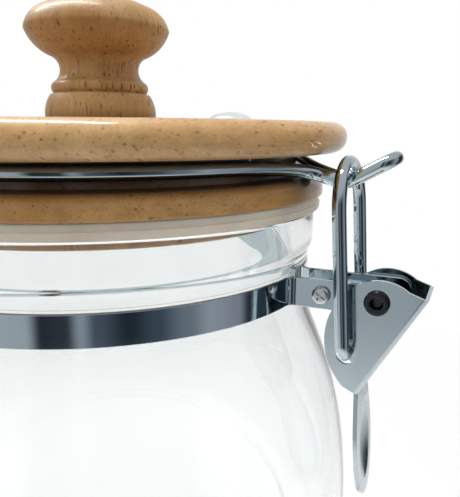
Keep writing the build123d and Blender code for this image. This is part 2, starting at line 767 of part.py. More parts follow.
# Vent flap: a thin silicone umbrella under the plug, held by its stem in the cap's bore
with BuildPart() as vent_flap:
    with BuildSketch(Plane.XY.offset(plug_bottom - flap_thickness)):
        with Locations(vent_place):
            Circle(flap_radius)
    extrude(amount=flap_thickness)
    with BuildSketch(Plane.XY.offset(plug_bottom)):
        with Locations(vent_place):
            Circle(flap_stem_radius)
    extrude(amount=flap_stem_length)
vent_flap.part.label = "vent_flap"
export_step(vent_flap.part, "parts/vent_flap.step")
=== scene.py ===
import bmesh
import bpy
import json
import math
from mathutils import Matrix, Vector
from mathutils.geometry import interpolate_bezier


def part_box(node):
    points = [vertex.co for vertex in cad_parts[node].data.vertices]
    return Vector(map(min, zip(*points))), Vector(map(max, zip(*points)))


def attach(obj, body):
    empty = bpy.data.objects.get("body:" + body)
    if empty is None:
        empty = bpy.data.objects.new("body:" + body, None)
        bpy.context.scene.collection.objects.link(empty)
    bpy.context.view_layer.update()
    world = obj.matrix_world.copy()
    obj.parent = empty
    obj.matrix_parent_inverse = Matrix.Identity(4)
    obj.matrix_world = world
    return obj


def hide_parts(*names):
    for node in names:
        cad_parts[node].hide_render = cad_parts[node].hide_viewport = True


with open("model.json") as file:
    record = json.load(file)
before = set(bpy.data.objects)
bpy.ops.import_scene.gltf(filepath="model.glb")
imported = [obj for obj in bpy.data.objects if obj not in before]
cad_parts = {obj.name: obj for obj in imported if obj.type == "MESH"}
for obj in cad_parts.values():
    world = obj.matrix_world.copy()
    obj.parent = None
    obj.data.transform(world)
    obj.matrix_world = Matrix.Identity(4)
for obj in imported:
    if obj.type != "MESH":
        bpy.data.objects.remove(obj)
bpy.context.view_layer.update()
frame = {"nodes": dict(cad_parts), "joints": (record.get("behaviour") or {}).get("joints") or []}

mm = 0.001
weld = 1e-7  # points nearer than this are one point
joints = {joint["name"]: joint for joint in frame["joints"]}
hinge = Vector(joints["lid_hinge"]["pos_m"])
linkFoot = Vector(joints["link_pivot"]["pos_m"])
bandLow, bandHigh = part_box("neck_band")
discLow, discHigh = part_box("lid_top_disc")
capLow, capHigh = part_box("vent_cap")
print("frame loaded:", len(frame["nodes"]), "nodes")


def addObject(name, data):
    made = bpy.data.objects.new(name, data)
    bpy.context.scene.collection.objects.link(made)
    return made


def meshFrom(name, bm):
    mesh = bpy.data.meshes.new(name)
    bm.to_mesh(mesh)
    bm.free()
    return mesh


def closeUp(bm):
    # merges doubled points, then turns the faces outwards
    bmesh.ops.remove_doubles(bm, verts=bm.verts, dist=weld)
    bmesh.ops.recalc_face_normals(bm, faces=bm.faces)


def place(name, bm, body, replaced, finish, smoothAngle=40):
    closeUp(bm)
    return placeMesh(name, meshFrom(name, bm), body, replaced, finish, smoothAngle)


def placeMesh(name, mesh, body, replaced, finish, smoothAngle=40):
    # normals that a modifier has already worked out are kept
    if not mesh.has_custom_normals:
        mesh.polygons.foreach_set("use_smooth", [True] * len(mesh.polygons))
        mesh.set_sharp_from_angle(angle=math.radians(smoothAngle))
    piece = addObject(name, mesh)
    piece.data.materials.append(finish)
    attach(piece, body)
    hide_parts(*replaced)
    return piece


def roundedOutline(points, steps):
    # a line through (radius, height, corner radius) points, its corners turned into arcs
    line = []
    for i, point in enumerate(points):
        here = Vector(point[:2])
        corner = point[2] if len(point) > 2 else 0
        if corner == 0 or i in (0, len(points) - 1):
            line.append(here)
            continue
        back = (Vector(points[i - 1][:2]) - here).normalized()
        ahead = (Vector(points[i + 1][:2]) - here).normalized()
        half = back.angle(ahead) / 2
        reach = corner / math.tan(half)
        start, end = here + back * reach, here + ahead * reach
        centre = here + (back + ahead).normalized() * corner / math.sin(half)
        sweep = (start - centre).angle_signed(end - centre)
        for k in range(steps + 1):
            line.append(centre + Matrix.Rotation(-sweep * k / steps, 2) @ (start - centre))
    return line


def bow(start, pull, endPull, end, steps):
    # a smooth curve between two points, without its first point
    flat = [Vector((p[0], p[1], 0)) for p in (start, pull, endPull, end)]
    return [p.to_2d() for p in interpolate_bezier(*flat, steps + 1)][1:]


def arcThrough(a, b, c, steps):
    # points on the circle through three points, without the first
    a, b, c = (Vector(p) for p in (a, b, c))
    mid, side = (a + c) / 2, (c - a)
    across = Vector((-side.y, side.x)).normalized()
    sag = (b - mid).dot(across)
    radius = ((side.length / 2) ** 2 + sag ** 2) / (2 * abs(sag))
    centre = mid + across * (sag - math.copysign(radius, sag))
    sweep = (a - centre).angle_signed(c - centre)
    if abs(sag) > side.length / 2:
        sweep -= math.copysign(math.tau, sweep)
    return [centre + Matrix.Rotation(-sweep * k / steps, 2) @ (a - centre) for k in range(1, steps + 1)]


def lathe(outline, steps):
    # turns an outline of (radius, height) about the upright axis
    bm = bmesh.new()
    verts = [bm.verts.new((p[0], 0, p[1])) for p in outline]
    edges = [bm.edges.new(pair) for pair in zip(verts, verts[1:])]
    bmesh.ops.spin(
        bm, geom=verts + edges, cent=(0, 0, 0), axis=(0, 0, 1), angle=math.tau, steps=steps, use_merge=True
    )
    bmesh.ops.remove_doubles(bm, verts=bm.verts, dist=weld)
    return bm


def layAlong(bm, centre):
    # turns a lathed shape so that its axis runs along Y through a point
    bmesh.ops.rotate(bm, verts=bm.verts, cent=(0, 0, 0), matrix=Matrix.Rotation(math.radians(90), 3, "X"))
    bmesh.ops.translate(bm, verts=bm.verts, vec=centre)
    return bm


flatten = ("WEIGHTED_NORMAL", {"weight": 100, "keep_sharp": True})


def settle(bm, *steps):
    # a mesh with modifiers worked out, from (type, settings) pairs
    mesh = meshFrom("work", bm)
    mesh.polygons.foreach_set("use_smooth", [True] * len(mesh.polygons))
    work = addObject("work", mesh)
    for kind, settings in steps:
        modifier = work.modifiers.new(kind.lower(), kind)
        for key, value in settings.items():
            setattr(modifier, key, value)
    bpy.context.view_layer.update()
    done = bpy.data.meshes.new_from_object(work.evaluated_get(bpy.context.evaluated_depsgraph_get()))
    bpy.data.objects.remove(work)
    return done


class WirePath:
    # a wire's centre line, as bezier knots of point, left handle, right handle
    def __init__(self, start):
        self.knots = [[start.copy(), start.copy(), start.copy()]]

    def curveTo(self, pull, endPull, end):
        self.knots[-1][2] = pull
        self.knots.append([end.copy(), endPull, end.copy()])

    def lineTo(self, end):
        start = self.knots[-1][0]
        self.curveTo(start.lerp(end, 1 / 3), start.lerp(end, 2 / 3), end)

    def arcAbout(self, centre, axis, degrees, parts):
        turn = math.radians(degrees) / parts
        for _ in range(parts):
            start = self.knots[-1][0]
            arm = start - centre
            end = centre + Matrix.Rotation(turn, 3, axis) @ arm
            pull = 4 / 3 * math.tan(turn / 4)
            self.curveTo(start + axis.cross(arm) * pull, end - axis.cross(end - centre) * pull, end)

    def mirror(self):
        # carries the path on across the middle plane, from a knot that lies on it
        half = list(self.knots)
        flip = Vector((1, -1, 1))
        half[-1][2] = half[-1][1] * flip
        for point, left, right in reversed(half[:-1]):
            self.knots.append([point * flip, right * flip, left * flip])

    def make(self, name, radius, body, replaced, finish):
        curve = bpy.data.curves.new(name, "CURVE")
        curve.dimensions = "3D"
        curve.bevel_depth = radius
        curve.bevel_resolution = 10
        curve.resolution_u = 20
        curve.use_fill_caps = True
        spline = curve.splines.new("BEZIER")
        spline.bezier_points.add(len(self.knots) - 1)
        for knot, (point, left, right) in zip(spline.bezier_points, self.knots):
            knot.handle_left_type = knot.handle_right_type = "FREE"
            knot.co, knot.handle_left, knot.handle_right = point, left, right
        wireObject = addObject(name, curve)
        mesh = bpy.data.meshes.new_from_object(wireObject)
        bpy.data.objects.remove(wireObject)
        mesh.name = name
        return placeMesh(name, mesh, body, replaced, finish, 60)


class Value:
    # a node's output, so that finishes read as sums
    def __init__(self, tree, socket):
        self.tree = tree
        self.socket = socket

    def combine(self, operation, *parts):
        node = self.tree.nodes.new("ShaderNodeMath")
        node.operation = operation
        for slot, part in zip(node.inputs, parts):
            if isinstance(part, Value):
                self.tree.links.new(part.socket, slot)
            else:
                slot.default_value = part
        return Value(self.tree, node.outputs[0])

    def __add__(self, other):
        return self.combine("ADD", self, other)

    def __radd__(self, other):
        return self.combine("ADD", other, self)

    def __sub__(self, other):
        return self.combine("SUBTRACT", self, other)

    def __rsub__(self, other):
        return self.combine("SUBTRACT", other, self)

    def __mul__(self, other):
        return self.combine("MULTIPLY", self, other)

    def __rmul__(self, other):
        return self.combine("MULTIPLY", other, self)


class Nodes:
    # the nodes of a material or of the world
    def __init__(self, owner):
        owner.use_nodes = True
        self.tree = owner.node_tree

    def node(self, kind, settings, inputs, output=0):
        node = self.tree.nodes.new(kind)
        for key, value in settings.items():
            if key == "stops":
                ramp = node.color_ramp
                while len(ramp.elements) < len(value):
                    ramp.elements.new(0.5)
                for stop, (at, colour) in zip(ramp.elements, value):
                    stop.position = at
                    stop.color = (*colour, 1)
            elif key == "between":
                node.color_ramp.interpolation = value
            else:
                setattr(node, key, value)
        for key, value in inputs.items():
            slot = node.inputs[key]
            if isinstance(value, Value):
                self.tree.links.new(value.socket, slot)
            else:
                slot.default_value = value
        return Value(self.tree, node.outputs[output])

    def blend(self, factor, first, second):
        # colours are given as three numbers or as a value
        first, second = (c if isinstance(c, Value) else (*c, 1) for c in (first, second))
        inputs = {0: factor, 6: first, 7: second}
        return self.node("ShaderNodeMix", {"data_type": "RGBA"}, inputs, 2)

    def ease(self, value, low, high):
        inputs = {"Value": value, "From Min": low, "From Max": high}
        return self.node("ShaderNodeMapRange", {"interpolation_type": "SMOOTHSTEP"}, inputs)

    def show(self, value):
        # what is seen in the end
        output = next(node for node in self.tree.nodes if node.bl_idname.startswith("ShaderNodeOutput"))
        self.tree.links.new(value.socket, output.inputs["Surface"])


class Finish(Nodes):
    # a material with one Principled shader, whose fixed values come as keywords
    def __init__(self, name, **fixed):
        self.material = bpy.data.materials.new(name)
        super().__init__(self.material)
        self.shader = self.tree.nodes["Principled BSDF"]
        for key, value in fixed.items():
            self.shader.inputs[key.replace("_", " ")].default_value = value
        self.place = self.node("ShaderNodeTexCoord", {}, {}, "Object")

    def stretch(self, scale):
        return self.node("ShaderNodeMapping", {}, {"Vector": self.place, "Scale": scale})

    def noise(self, at, detail=2.0, rough=0.5):
        inputs = {"Vector": at, "Scale": 1.0, "Detail": detail, "Roughness": rough}
        return self.node("ShaderNodeTexNoise", {}, inputs)

    def spots(self, at, size, softness):
        # 1 inside small cells round scattered points, 0 elsewhere
        cells = self.node("ShaderNodeTexVoronoi", {}, {"Vector": at, "Scale": 1})
        return self.band(cells, size + softness, size)

    def band(self, value, low, high):
        inputs = {"Value": value, "From Min": low, "From Max": high}
        return self.node("ShaderNodeMapRange", {"clamp": True}, inputs)

    def feed(self, **links):
        for key, value in links.items():
            self.tree.links.new(value.socket, self.shader.inputs[key.replace("_", " ")])

    def bump(self, height, strength, distance):
        inputs = {"Height": height, "Strength": strength, "Distance": distance}
        self.feed(Normal=self.node("ShaderNodeBump", {}, inputs))


# the fibres run along one axis; each size is the pattern's fineness across them and along them
grainSizes = {
    "clouds": (50, 16), "rings": (420, 22), "fibres": (2400, 130), "flecks": (700, 110), "pores": (1150, 190),
    "patches": (150, 60),
}
# the pore and fleck tones are the wood's own; the last tone is painted shade for crevices
grainAndShadeTones = {"pore": (0.17, 0.065, 0.02), "fleck": (0.13, 0.045, 0.014), "paintedCreviceShade": (0.028, 0.012, 0.006)}
woods = {
    "knobWood": {
        "fibreAxis": "Z", "tone": (0.44, 0.27, 0.115), "shade": (0.30, 0.155, 0.048),
        "fleckDepth": 1.0, "gloss": 0.12,
    },
    "topWood": {
        "fibreAxis": "Y", "tone": (0.55, 0.345, 0.15), "shade": (0.41, 0.225, 0.08),
        "fleckDepth": 0.62, "gloss": 0.6,
    },
    "baseWood": {
        "fibreAxis": "Y", "tone": (0.47, 0.265, 0.09), "shade": (0.34, 0.165, 0.045),
        "fleckDepth": 0.65, "gloss": 0.6,
    },
}


def beech(name, fibreAxis, tone, shade, fleckDepth, gloss):
    wood = Finish(name, Coat_Weight=gloss, Coat_Roughness=0.16 - gloss / 6, IOR=1.45, Specular_IOR_Level=0.35)

    def grain(layer):
        across, along = grainSizes[layer]
        return wood.stretch(tuple(along if axis == fibreAxis else across for axis in "XYZ"))

    def darker(share):
        return tuple(c * share for c in shade)

    clouds = wood.noise(grain("clouds"), detail=3)
    rings = wood.noise(grain("rings"), detail=3, rough=0.6)
    fibres = wood.noise(grain("fibres"), rough=0.6)
    flecks = wood.spots(grain("flecks"), 0.13, 0.1)
    pores = wood.spots(grain("pores"), 0.15, 0.14)
    patches = wood.band(wood.noise(grain("patches")), 0.36, 0.54)
    # painted shade: ambient occlusion darkens the colour almost to black in crevices and where parts meet, such as
    # the groove between the discs
    paintedCreviceShade = wood.node("ShaderNodeAmbientOcclusion", {"samples": 8}, {"Distance": 11 * mm}, "AO")
    colour = wood.blend(wood.band(clouds, 0.3, 0.7), tone, shade)
    colour = wood.blend(wood.band(rings, 0.42, 0.72) * 0.45, colour, darker(0.68))
    colour = wood.blend(wood.band(fibres, 0.4, 0.75) * 0.3, colour, darker(0.55))
    colour = wood.blend(pores * patches * fleckDepth * 0.7, colour, grainAndShadeTones["pore"])
    colour = wood.blend(flecks * (0.3 + patches * 0.7) * fleckDepth, colour, grainAndShadeTones["fleck"])
    colour = wood.blend(wood.band(paintedCreviceShade, 0.7, 0.2) * 0.96, colour, grainAndShadeTones["paintedCreviceShade"])
    wood.feed(Base_Color=colour, Roughness=0.38 + fibres * 0.16)
    wood.bump(fibres * 0.3 + rings * 0.5 - flecks * 0.8 - pores * 0.4, 0.4, 0.12 * mm)
    return wood.material


# scratches lie across the axis with the highest number
metals = {
    "strapSteel": {"colour": (0.56, 0.64, 0.68), "rough": 0.035, "scratches": (60, 60, 2200), "wear": 0.06},
    "leverSteel": {"colour": (0.54, 0.61, 0.64), "rough": 0.11, "scratches": (300, 300, 900), "wear": 0.14},
    "wireChrome": {"colour": (0.52, 0.60, 0.625), "rough": 0.03, "scratches": (500, 500, 500), "wear": 0.04},
    "screwSteel": {"colour": (0.66, 0.67, 0.68), "rough": 0.18, "scratches": (60, 60, 2200), "wear": 0.06},
    "rivetSteel": {"colour": (0.05, 0.05, 0.055), "rough": 0.2, "scratches": (900, 900, 900), "wear": 0.12},
}


def brightMetal(name, colour, rough, scratches, wear):
    metal = Finish(name, Metallic=1.0)
    smudge = metal.noise(metal.stretch((90, 90, 90)), detail=4)
    lines = metal.noise(metal.stretch(scratches), detail=3, rough=0.7)
    dull = tuple(c * 0.86 for c in colour)
    metal.feed(
        Base_Color=metal.blend(metal.band(smudge, 0.35, 0.75) * 0.5, colour, dull),
        Roughness=rough + metal.band(smudge, 0.45, 0.8) * wear + metal.band(lines, 0.5, 0.8) * wear,
    )
    metal.bump(lines, 0.06, 0.02 * mm)
    return metal.material


def clearGlass():
    glass = Finish("clearGlass", Transmission_Weight=1.0, IOR=1.47)
    waves = glass.noise(glass.stretch((26, 26, 9)), detail=1)
    seeds = glass.noise(glass.stretch((300, 300, 120)))
    glass.feed(
        Base_Color=glass.blend(glass.band(waves, 0.3, 0.7), (0.985, 0.995, 0.99), (0.97, 0.985, 0.98)),
        Roughness=0.004 + glass.band(seeds, 0.6, 0.9) * 0.02,
    )
    glass.bump(waves, 0.5, 0.6 * mm)
    return glass.material


def paleSilicone():
    rubber = Finish(
        "paleSilicone", Subsurface_Weight=0.35, Subsurface_Scale=4 * mm, Transmission_Weight=0.12, IOR=1.41
    )
    mottle = rubber.noise(rubber.stretch((120, 120, 200)), detail=3)
    dust = rubber.spots(rubber.stretch((700, 700, 700)), 0.1, 0.1)
    colour = rubber.blend(rubber.band(mottle, 0.35, 0.7), (0.68, 0.62, 0.52), (0.60, 0.54, 0.44))
    rubber.feed(Base_Color=rubber.blend(dust * 0.25, colour, (0.8, 0.78, 0.74)), Roughness=0.34 + mottle * 0.15)
    rubber.bump(mottle, 0.15, 0.2 * mm)
    return rubber.material


def greyCap():
    cap = Finish("greyCap", Coat_Weight=0.3, Coat_Roughness=0.2)
    mottle = cap.noise(cap.stretch((300, 300, 300)), detail=3)
    cap.feed(
        Base_Color=cap.blend(mottle, (0.42, 0.44, 0.45), (0.52, 0.54, 0.55)),
        Roughness=0.3 + mottle * 0.15,
    )
    cap.bump(mottle, 0.1, 0.1 * mm)
    return cap.material


finishes = {name: beech(name, **values) for name, values in woods.items()}
finishes.update({name: brightMetal(name, **values) for name, values in metals.items()})
finishes.update({"glass": clearGlass(), "silicone": paleSilicone(), "cap": greyCap()})
print("finishes made:", len(finishes))


jarShape = {
    "wall": 3.6 * mm, "floor": 7 * mm, "footCorner": 11 * mm, "footWidth": 7 * mm, "pushUp": 1.6 * mm,
    "pushRound": 1.2 * mm, "pushSlope": 1.6, "wallTop": 72 * mm, "lowPull": 40 * mm, "highPull": 10 * mm,
    "grooveRadius": 55.2 * mm, "grooveMargin": 0.6 * mm, "bead": 0.8 * mm, "beadFootRound": 0.35 * mm,
    "beadHeadRound": 0.5 * mm, "beadStep": 0.6 * mm, "neckLead": 1.5 * mm, "neckRise": 3 * mm,
    "neckRadius": 57.3 * mm, "neckInside": 52 * mm, "neckPull": 10 * mm, "neckTop": 5 * mm, "lipHeight": 4 * mm,
    "lipRound": 0.9 * mm, "wallLead": 1 * mm,
}


def makeJar():
    s = jarShape
    outer, _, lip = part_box("glass_jar")[1]
    inner = outer - s["wall"]
    groove, neck, inside = s["grooveRadius"], s["neckRadius"], s["neckInside"]
    grooveLow, grooveHigh = bandLow.z - s["grooveMargin"], bandHigh.z + s["grooveMargin"]
    beadTop = grooveHigh + 2 * s["bead"]
    pushRadius = outer - s["footCorner"] - s["footWidth"]
    # up the outside, from the middle of the base
    line = roundedOutline([
        (0, s["pushUp"]), (pushRadius, s["pushUp"], s["pushRound"]),
        (pushRadius + s["pushUp"] * s["pushSlope"], 0, s["pushRound"]), (outer, 0, s["footCorner"]),
        (outer, s["wallTop"]),
    ], steps=10)
    line += bow(
        line[-1], (outer, s["wallTop"] + s["lowPull"]), (groove, grooveLow - s["highPull"]), (groove, grooveLow),
        steps=36,
    )
    line += roundedOutline([
        (groove, grooveHigh), (groove + s["bead"], grooveHigh, s["beadFootRound"]),
        (groove + s["bead"] * 1.1, beadTop, s["beadHeadRound"]),
        (groove + s["bead"] * 1.2, beadTop + s["beadStep"]),
    ], steps=5)
    line += bow(
        line[-1], (groove + s["neckLead"], beadTop + s["neckRise"]), (neck, lip - s["neckPull"]),
        (neck, lip - s["neckTop"]), steps=14,
    )
    # over the lip and down the inside
    line += roundedOutline([
        (neck, lip - s["lipHeight"]), (neck, lip, s["lipRound"]), (inside, lip, s["lipRound"]), (inside, grooveLow),
    ], steps=8)
    line += bow(
        line[-1], (inside, grooveLow - s["highPull"] - s["wall"] / 2),
        (inner, s["wallTop"] + s["lowPull"] - s["wall"] / 2), (inner, s["wallTop"]), steps=36,
    )
    line += roundedOutline([
        (inner, s["wallTop"] - s["wallLead"]), (inner, s["floor"], s["footCorner"] - s["wall"]), (0, s["floor"]),
    ], steps=10)
    jar = place("glassJar", lathe(line, steps=160), "jar", ["glass_jar"], finishes["glass"], 80)
    jar.visible_shadow = False  # light goes through it


makeJar()
print("glass jar made")


strap = {
    "thickness": 0.9 * mm, "earInside": 4.5 * mm, "bend": 2.5 * mm, "earRound": 2.6 * mm, "edge": 0.22 * mm,
    "edgeShare": 0.3, "tipSteps": 6, "bendSteps": 8, "ringSteps": 75,
}


def makeBand():
    s = strap
    thick, edge = s["thickness"] / 2, s["edge"]
    corner = edge * s["edgeShare"]
    earMiddle = s["earInside"] + thick
    ringMiddle = -bandLow.x - thick
    bendX = math.sqrt((ringMiddle + s["bend"]) ** 2 - (earMiddle + s["bend"]) ** 2)
    bendAngle = math.atan2(earMiddle + s["bend"], bendX)
    half = (bandHigh.z - bandLow.z) / 2
    middle = (bandHigh.z + bandLow.z) / 2
    # stations along half the strap: point, sideways direction, half height
    stations = []
    for k in range(s["tipSteps"] + 1):
        angle = math.radians(90 - 90 / s["tipSteps"] * k)
        x = bandHigh.x - s["earRound"] * (1 - math.sin(angle))
        tall = half - s["earRound"] * (1 - math.cos(angle))
        stations.append((Vector((x, earMiddle, middle)), Vector((0, 1, 0)), tall))
    bendCentre = Vector((bendX, earMiddle + s["bend"], middle))
    turn = math.pi / 2 - bendAngle
    for k in range(s["bendSteps"] + 1):
        spoke = Matrix.Rotation(-turn * k / s["bendSteps"], 3, "Z") @ Vector((0, -1, 0))
        stations.append((bendCentre + spoke * s["bend"], -spoke, half))
    for k in range(1, s["ringSteps"] + 1):
        angle = bendAngle + (math.pi - bendAngle) * k / s["ringSteps"]
        spoke = Vector((math.cos(angle), math.sin(angle), 0))
        stations.append((Vector((0, 0, middle)) + spoke * ringMiddle, spoke, half))
    bm = bmesh.new()
    loops = []
    for point, out, tall in stations:
        ring = [
            (thick, -tall + edge), (thick, tall - edge), (thick - corner, tall - corner), (thick - edge, tall),
            (-thick + edge, tall), (-thick + corner, tall - corner), (-thick, tall - edge), (-thick, -tall + edge),
            (-thick + corner, -tall + corner), (-thick + edge, -tall), (thick - edge, -tall),
            (thick - corner, -tall + corner),
        ]
        verts = [bm.verts.new(point + out * a + Vector((0, 0, b))) for a, b in ring]
        loops.append([bm.edges.new(pair) for pair in zip(verts, verts[1:] + verts[:1])])
    for first, second in zip(loops, loops[1:]):
        bmesh.ops.bridge_loops(bm, edges=first + second)
    bmesh.ops.contextual_create(bm, geom=loops[0])
    bmesh.ops.mirror(bm, geom=bm.verts[:] + bm.edges[:] + bm.faces[:], axis="Y", merge_dist=1e-6)
    place("neckBand", bm, "jar", ["neck_band"], finishes["strapSteel"], 18)


screwShape = {
    "headHeight": 1.3 * mm, "headRound": 0.75 * mm, "headEdge": 0.12 * mm, "shank": 1.25 * mm, "tipRound": 0.2 * mm,
    "crossLength": 1.3 * mm, "crossWidth": 0.36 * mm, "crossDepth": 0.8 * mm, "crossTurn": 35,
}


def makeClampScrew():
    s = screwShape
    low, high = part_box("clamp_screw")
    centre = Vector(((low.x + high.x) / 2, 0, (low.z + high.z) / 2))
    headRadius = (high.x - low.x) / 2
    front, back = -low.y, -high.y
    neck = front - s["headHeight"]
    bm = layAlong(lathe(roundedOutline([
        (0, front), (headRadius, front, s["headRound"]), (headRadius, neck, s["headEdge"]),
        (s["shank"], neck), (s["shank"], back, s["tipRound"]), (0, back),
    ], steps=5), steps=48), centre)
    closeUp(bm)
    cross = bmesh.new()
    at = Matrix.Translation(centre + Vector((0, low.y, 0)))
    size = Matrix.Diagonal((2 * s["crossLength"], 2 * s["crossDepth"], s["crossWidth"], 1))
    for degrees in (s["crossTurn"], s["crossTurn"] + 90):
        turn = Matrix.Rotation(math.radians(degrees), 4, "Y")
        bmesh.ops.create_cube(cross, size=1, matrix=at @ turn @ size)
    bmesh.ops.recalc_face_normals(cross, faces=cross.faces)
    tool = addObject("cross", meshFrom("cross", cross))
    mesh = settle(bm, ("BOOLEAN", {"operation": "DIFFERENCE", "object": tool, "solver": "EXACT", "use_self": True}))
    bpy.data.objects.remove(tool)
    placeMesh("clampScrew", mesh, "jar", ["clamp_screw"], finishes["screwSteel"], 35)


nutShape = {"sides": 6, "chamfer": 0.18 * mm}


def makeClampNut():
    s = nutShape
    low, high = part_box("clamp_nut")
    thick = high.y - low.y
    radius = (high.z - low.z) / 2 / math.cos(math.pi / s["sides"])
    bm = bmesh.new()
    ring = bmesh.ops.create_circle(bm, segments=s["sides"], radius=radius, cap_ends=True)["verts"]
    bmesh.ops.rotate(bm, verts=ring, cent=(0, 0, 0), matrix=Matrix.Rotation(math.radians(90), 3, "X"))
    bmesh.ops.translate(bm, verts=ring, vec=(low + high) / 2 - Vector((0, thick / 2, 0)))
    grown = bmesh.ops.extrude_face_region(bm, geom=bm.faces[:])["geom"]
    bmesh.ops.translate(bm, verts=[g for g in grown if isinstance(g, bmesh.types.BMVert)], vec=(0, thick, 0))
    bmesh.ops.bevel(bm, geom=bm.edges[:], affect="EDGES", offset=s["chamfer"], segments=2, profile=0.5, material=-1)
    place("clampNut", bm, "jar", ["clamp_nut"], finishes["screwSteel"], 35)


rivetShape = {
    "bore": 1.25 * mm, "boreFlare": 0.1 * mm, "boreRound": 0.5 * mm, "depth": 1.6 * mm, "shank": 2.0 * mm,
    "rim": 2.8 * mm, "rimHeight": 0.8 * mm, "rimInside": 0.3 * mm, "rimOutside": 0.42 * mm, "rimFoot": 0.3 * mm,
}


def makeRivet():
    s = rivetShape
    low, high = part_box("lever_rivet")
    half = (high.y - low.y) / 2
    face = half - s["rimHeight"]
    mouth = s["bore"] + s["boreFlare"]
    # from the middle of one blind bore out over the rim, then back the same way
    near = [
        (0, half - s["depth"]), (s["bore"], half - s["depth"], s["boreRound"]), (mouth, half, s["rimInside"]),
        (s["rim"], half, s["rimOutside"]), (s["rim"], face, s["rimFoot"]), (s["shank"], face),
    ]
    far = [(radius, -height, *rounding) for radius, height, *rounding in reversed(near)]
    line = roundedOutline(near + far, steps=5)
    place("leverRivet", layAlong(lathe(line, steps=64), (low + high) / 2), "jar", ["lever_rivet"],
          finishes["rivetSteel"], 60)


makeBand()
makeClampScrew()
makeClampNut()
makeRivet()
print("band, screw, nut and rivet made")


bracket = {
    "leaf": 0.9 * mm, "wall": 0.9 * mm, "bore": 1.6 * mm, "gap": 0.05 * mm, "barrelTurn": 318, "barrelSteps": 36,
    "footLift": 0.2 * mm, "leafTop": 0.6 * mm, "leafPull": 1.2 * mm, "barrelPull": (2.5 * mm, 0, 0.4 * mm),
    "columns": 20, "hugStart": 1.5 * mm, "hugBlend": 2 * mm, "hugReach": 5 * mm, "edge": 0.15 * mm, "edgeAngle": 50,
}


def makeBracket():
    s = bracket
    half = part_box("hinge_bracket")[1].y
    saddle = -bandLow.x + s["gap"] + s["leaf"] / 2
    # the sheet's side view: up the band, out along the leaf, then round the pin
    start = Vector((-saddle, 0, bandLow.z + s["footLift"]))
    top = Vector((-saddle, 0, bandHigh.z - s["leafTop"]))
    under = hinge - Vector((0, 0, s["bore"] + s["wall"] / 2))
    pulls = top + Vector((0, 0, s["leafPull"])), under + Vector(s["barrelPull"])
    line = [start, top] + interpolate_bezier(top, *pulls, under, 8)[1:7]
    for k in range(s["barrelSteps"] + 1):
        turn = Matrix.Rotation(math.radians(s["barrelTurn"] * k / s["barrelSteps"]), 3, "Y")
        line.append(hinge + turn @ (under - hinge))
    bm = bmesh.new()
    verts = [bm.verts.new((p.x, -half, p.z)) for p in line]
    edges = [bm.edges.new(pair) for pair in zip(verts, verts[1:])]
    for _ in range(s["columns"]):
        grown = bmesh.ops.extrude_edge_only(bm, edges=edges)["geom"]
        edges = [g for g in grown if isinstance(g, bmesh.types.BMEdge)]
        edges = [e for e in edges if abs(e.verts[0].co.y - e.verts[1].co.y) < 1e-9]
        verts = [g for g in grown if isinstance(g, bmesh.types.BMVert)]
        bmesh.ops.translate(bm, verts=verts, vec=(0, 2 * half / s["columns"], 0))
    # the lower part follows the round of the band
    hugTop = bandHigh.z + s["hugStart"]
    for v in bm.verts:
        if v.co.z < hugTop and v.co.x > hinge.x + s["hugReach"]:
            hug = min(1, max(0, (hugTop - v.co.z) / s["hugBlend"]))
            v.co.x += hug * (saddle - math.sqrt(saddle ** 2 - v.co.y ** 2))
    bevel = {
        "width": s["edge"], "segments": 2, "limit_method": "ANGLE", "angle_limit": math.radians(s["edgeAngle"]),
    }
    mesh = settle(
        bm, ("SOLIDIFY", {"thickness": s["leaf"], "offset": 0, "use_even_offset": True}), ("BEVEL", bevel), flatten
    )
    placeMesh("hingeBracket", mesh, "jar", ["hinge_bracket"], finishes["strapSteel"], 45)


makeBracket()
print("hinge bracket made")


leverShape = {"inside": 5.85 * mm, "edge": 0.13 * mm, "edgeAngle": 38, "flatAngle": 0.6, "merge": 0.001 * mm}


def makeLever():
    # a merged copy of the pressed channel and pad, its sheet edges then rounded off
    s = leverShape
    bm = bmesh.new()
    bm.from_mesh(frame["nodes"]["lever"].data)
    bmesh.ops.remove_doubles(bm, verts=bm.verts, dist=s["merge"])
    bmesh.ops.dissolve_limit(bm, angle_limit=math.radians(s["flatAngle"]), verts=bm.verts, edges=bm.edges)
    bmesh.ops.recalc_face_normals(bm, faces=bm.faces)
    bevel = {
        "width": s["edge"], "segments": 2, "limit_method": "ANGLE", "angle_limit": math.radians(s["edgeAngle"]),
    }
    mesh = settle(bm, ("BEVEL", bevel), flatten)
    placeMesh("leverClamp", mesh, "lever", ["lever"], finishes["leverSteel"])


makeLever()
print("lever made")


wire = {"radius": 1.55 * mm, "linkBend": 3 * mm, "linkEnd": 1.3 * mm}
tongue = {
    "halfWidth": 3.1 * mm, "leave": 30, "start": 62.5 * mm, "crook": 67.4 * mm, "dip": 16, "rise": 29,
    "bend": 5 * mm, "drop": 2.3 * mm, "easeIn": 12 * mm, "easeOut": 6 * mm, "ringDrop": 2.4 * mm,
    "armHalf": 14 * mm, "armBend": 5 * mm, "armCorner": 4 * mm, "pinReach": 2 * mm,
}


def makeLink():
    s = wire
    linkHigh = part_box("link_wire")[1]
    half = linkHigh.y - s["radius"]
    # the legs lean from the lever's holes to the tongue's crook
    archTop = Vector((tongue["crook"], 0, linkHigh.z - s["radius"]))
    up = (archTop - linkFoot).normalized()
    shoulder = archTop - up * half
    across = Vector((0, 1, 0))
    axis = up.cross(across).normalized()
    bend = linkFoot - across * (half - s["linkBend"])
    path = WirePath(linkFoot - across * (leverShape["inside"] - s["linkEnd"]))
    path.lineTo(bend)
    path.arcAbout(bend + up * s["linkBend"], axis, 90, 2)
    path.lineTo(shoulder - across * half)
    path.arcAbout(shoulder, axis, 90, 2)
    path.mirror()
    path.make("linkWire", s["radius"], "link", ["link_wire"], finishes["wireChrome"])


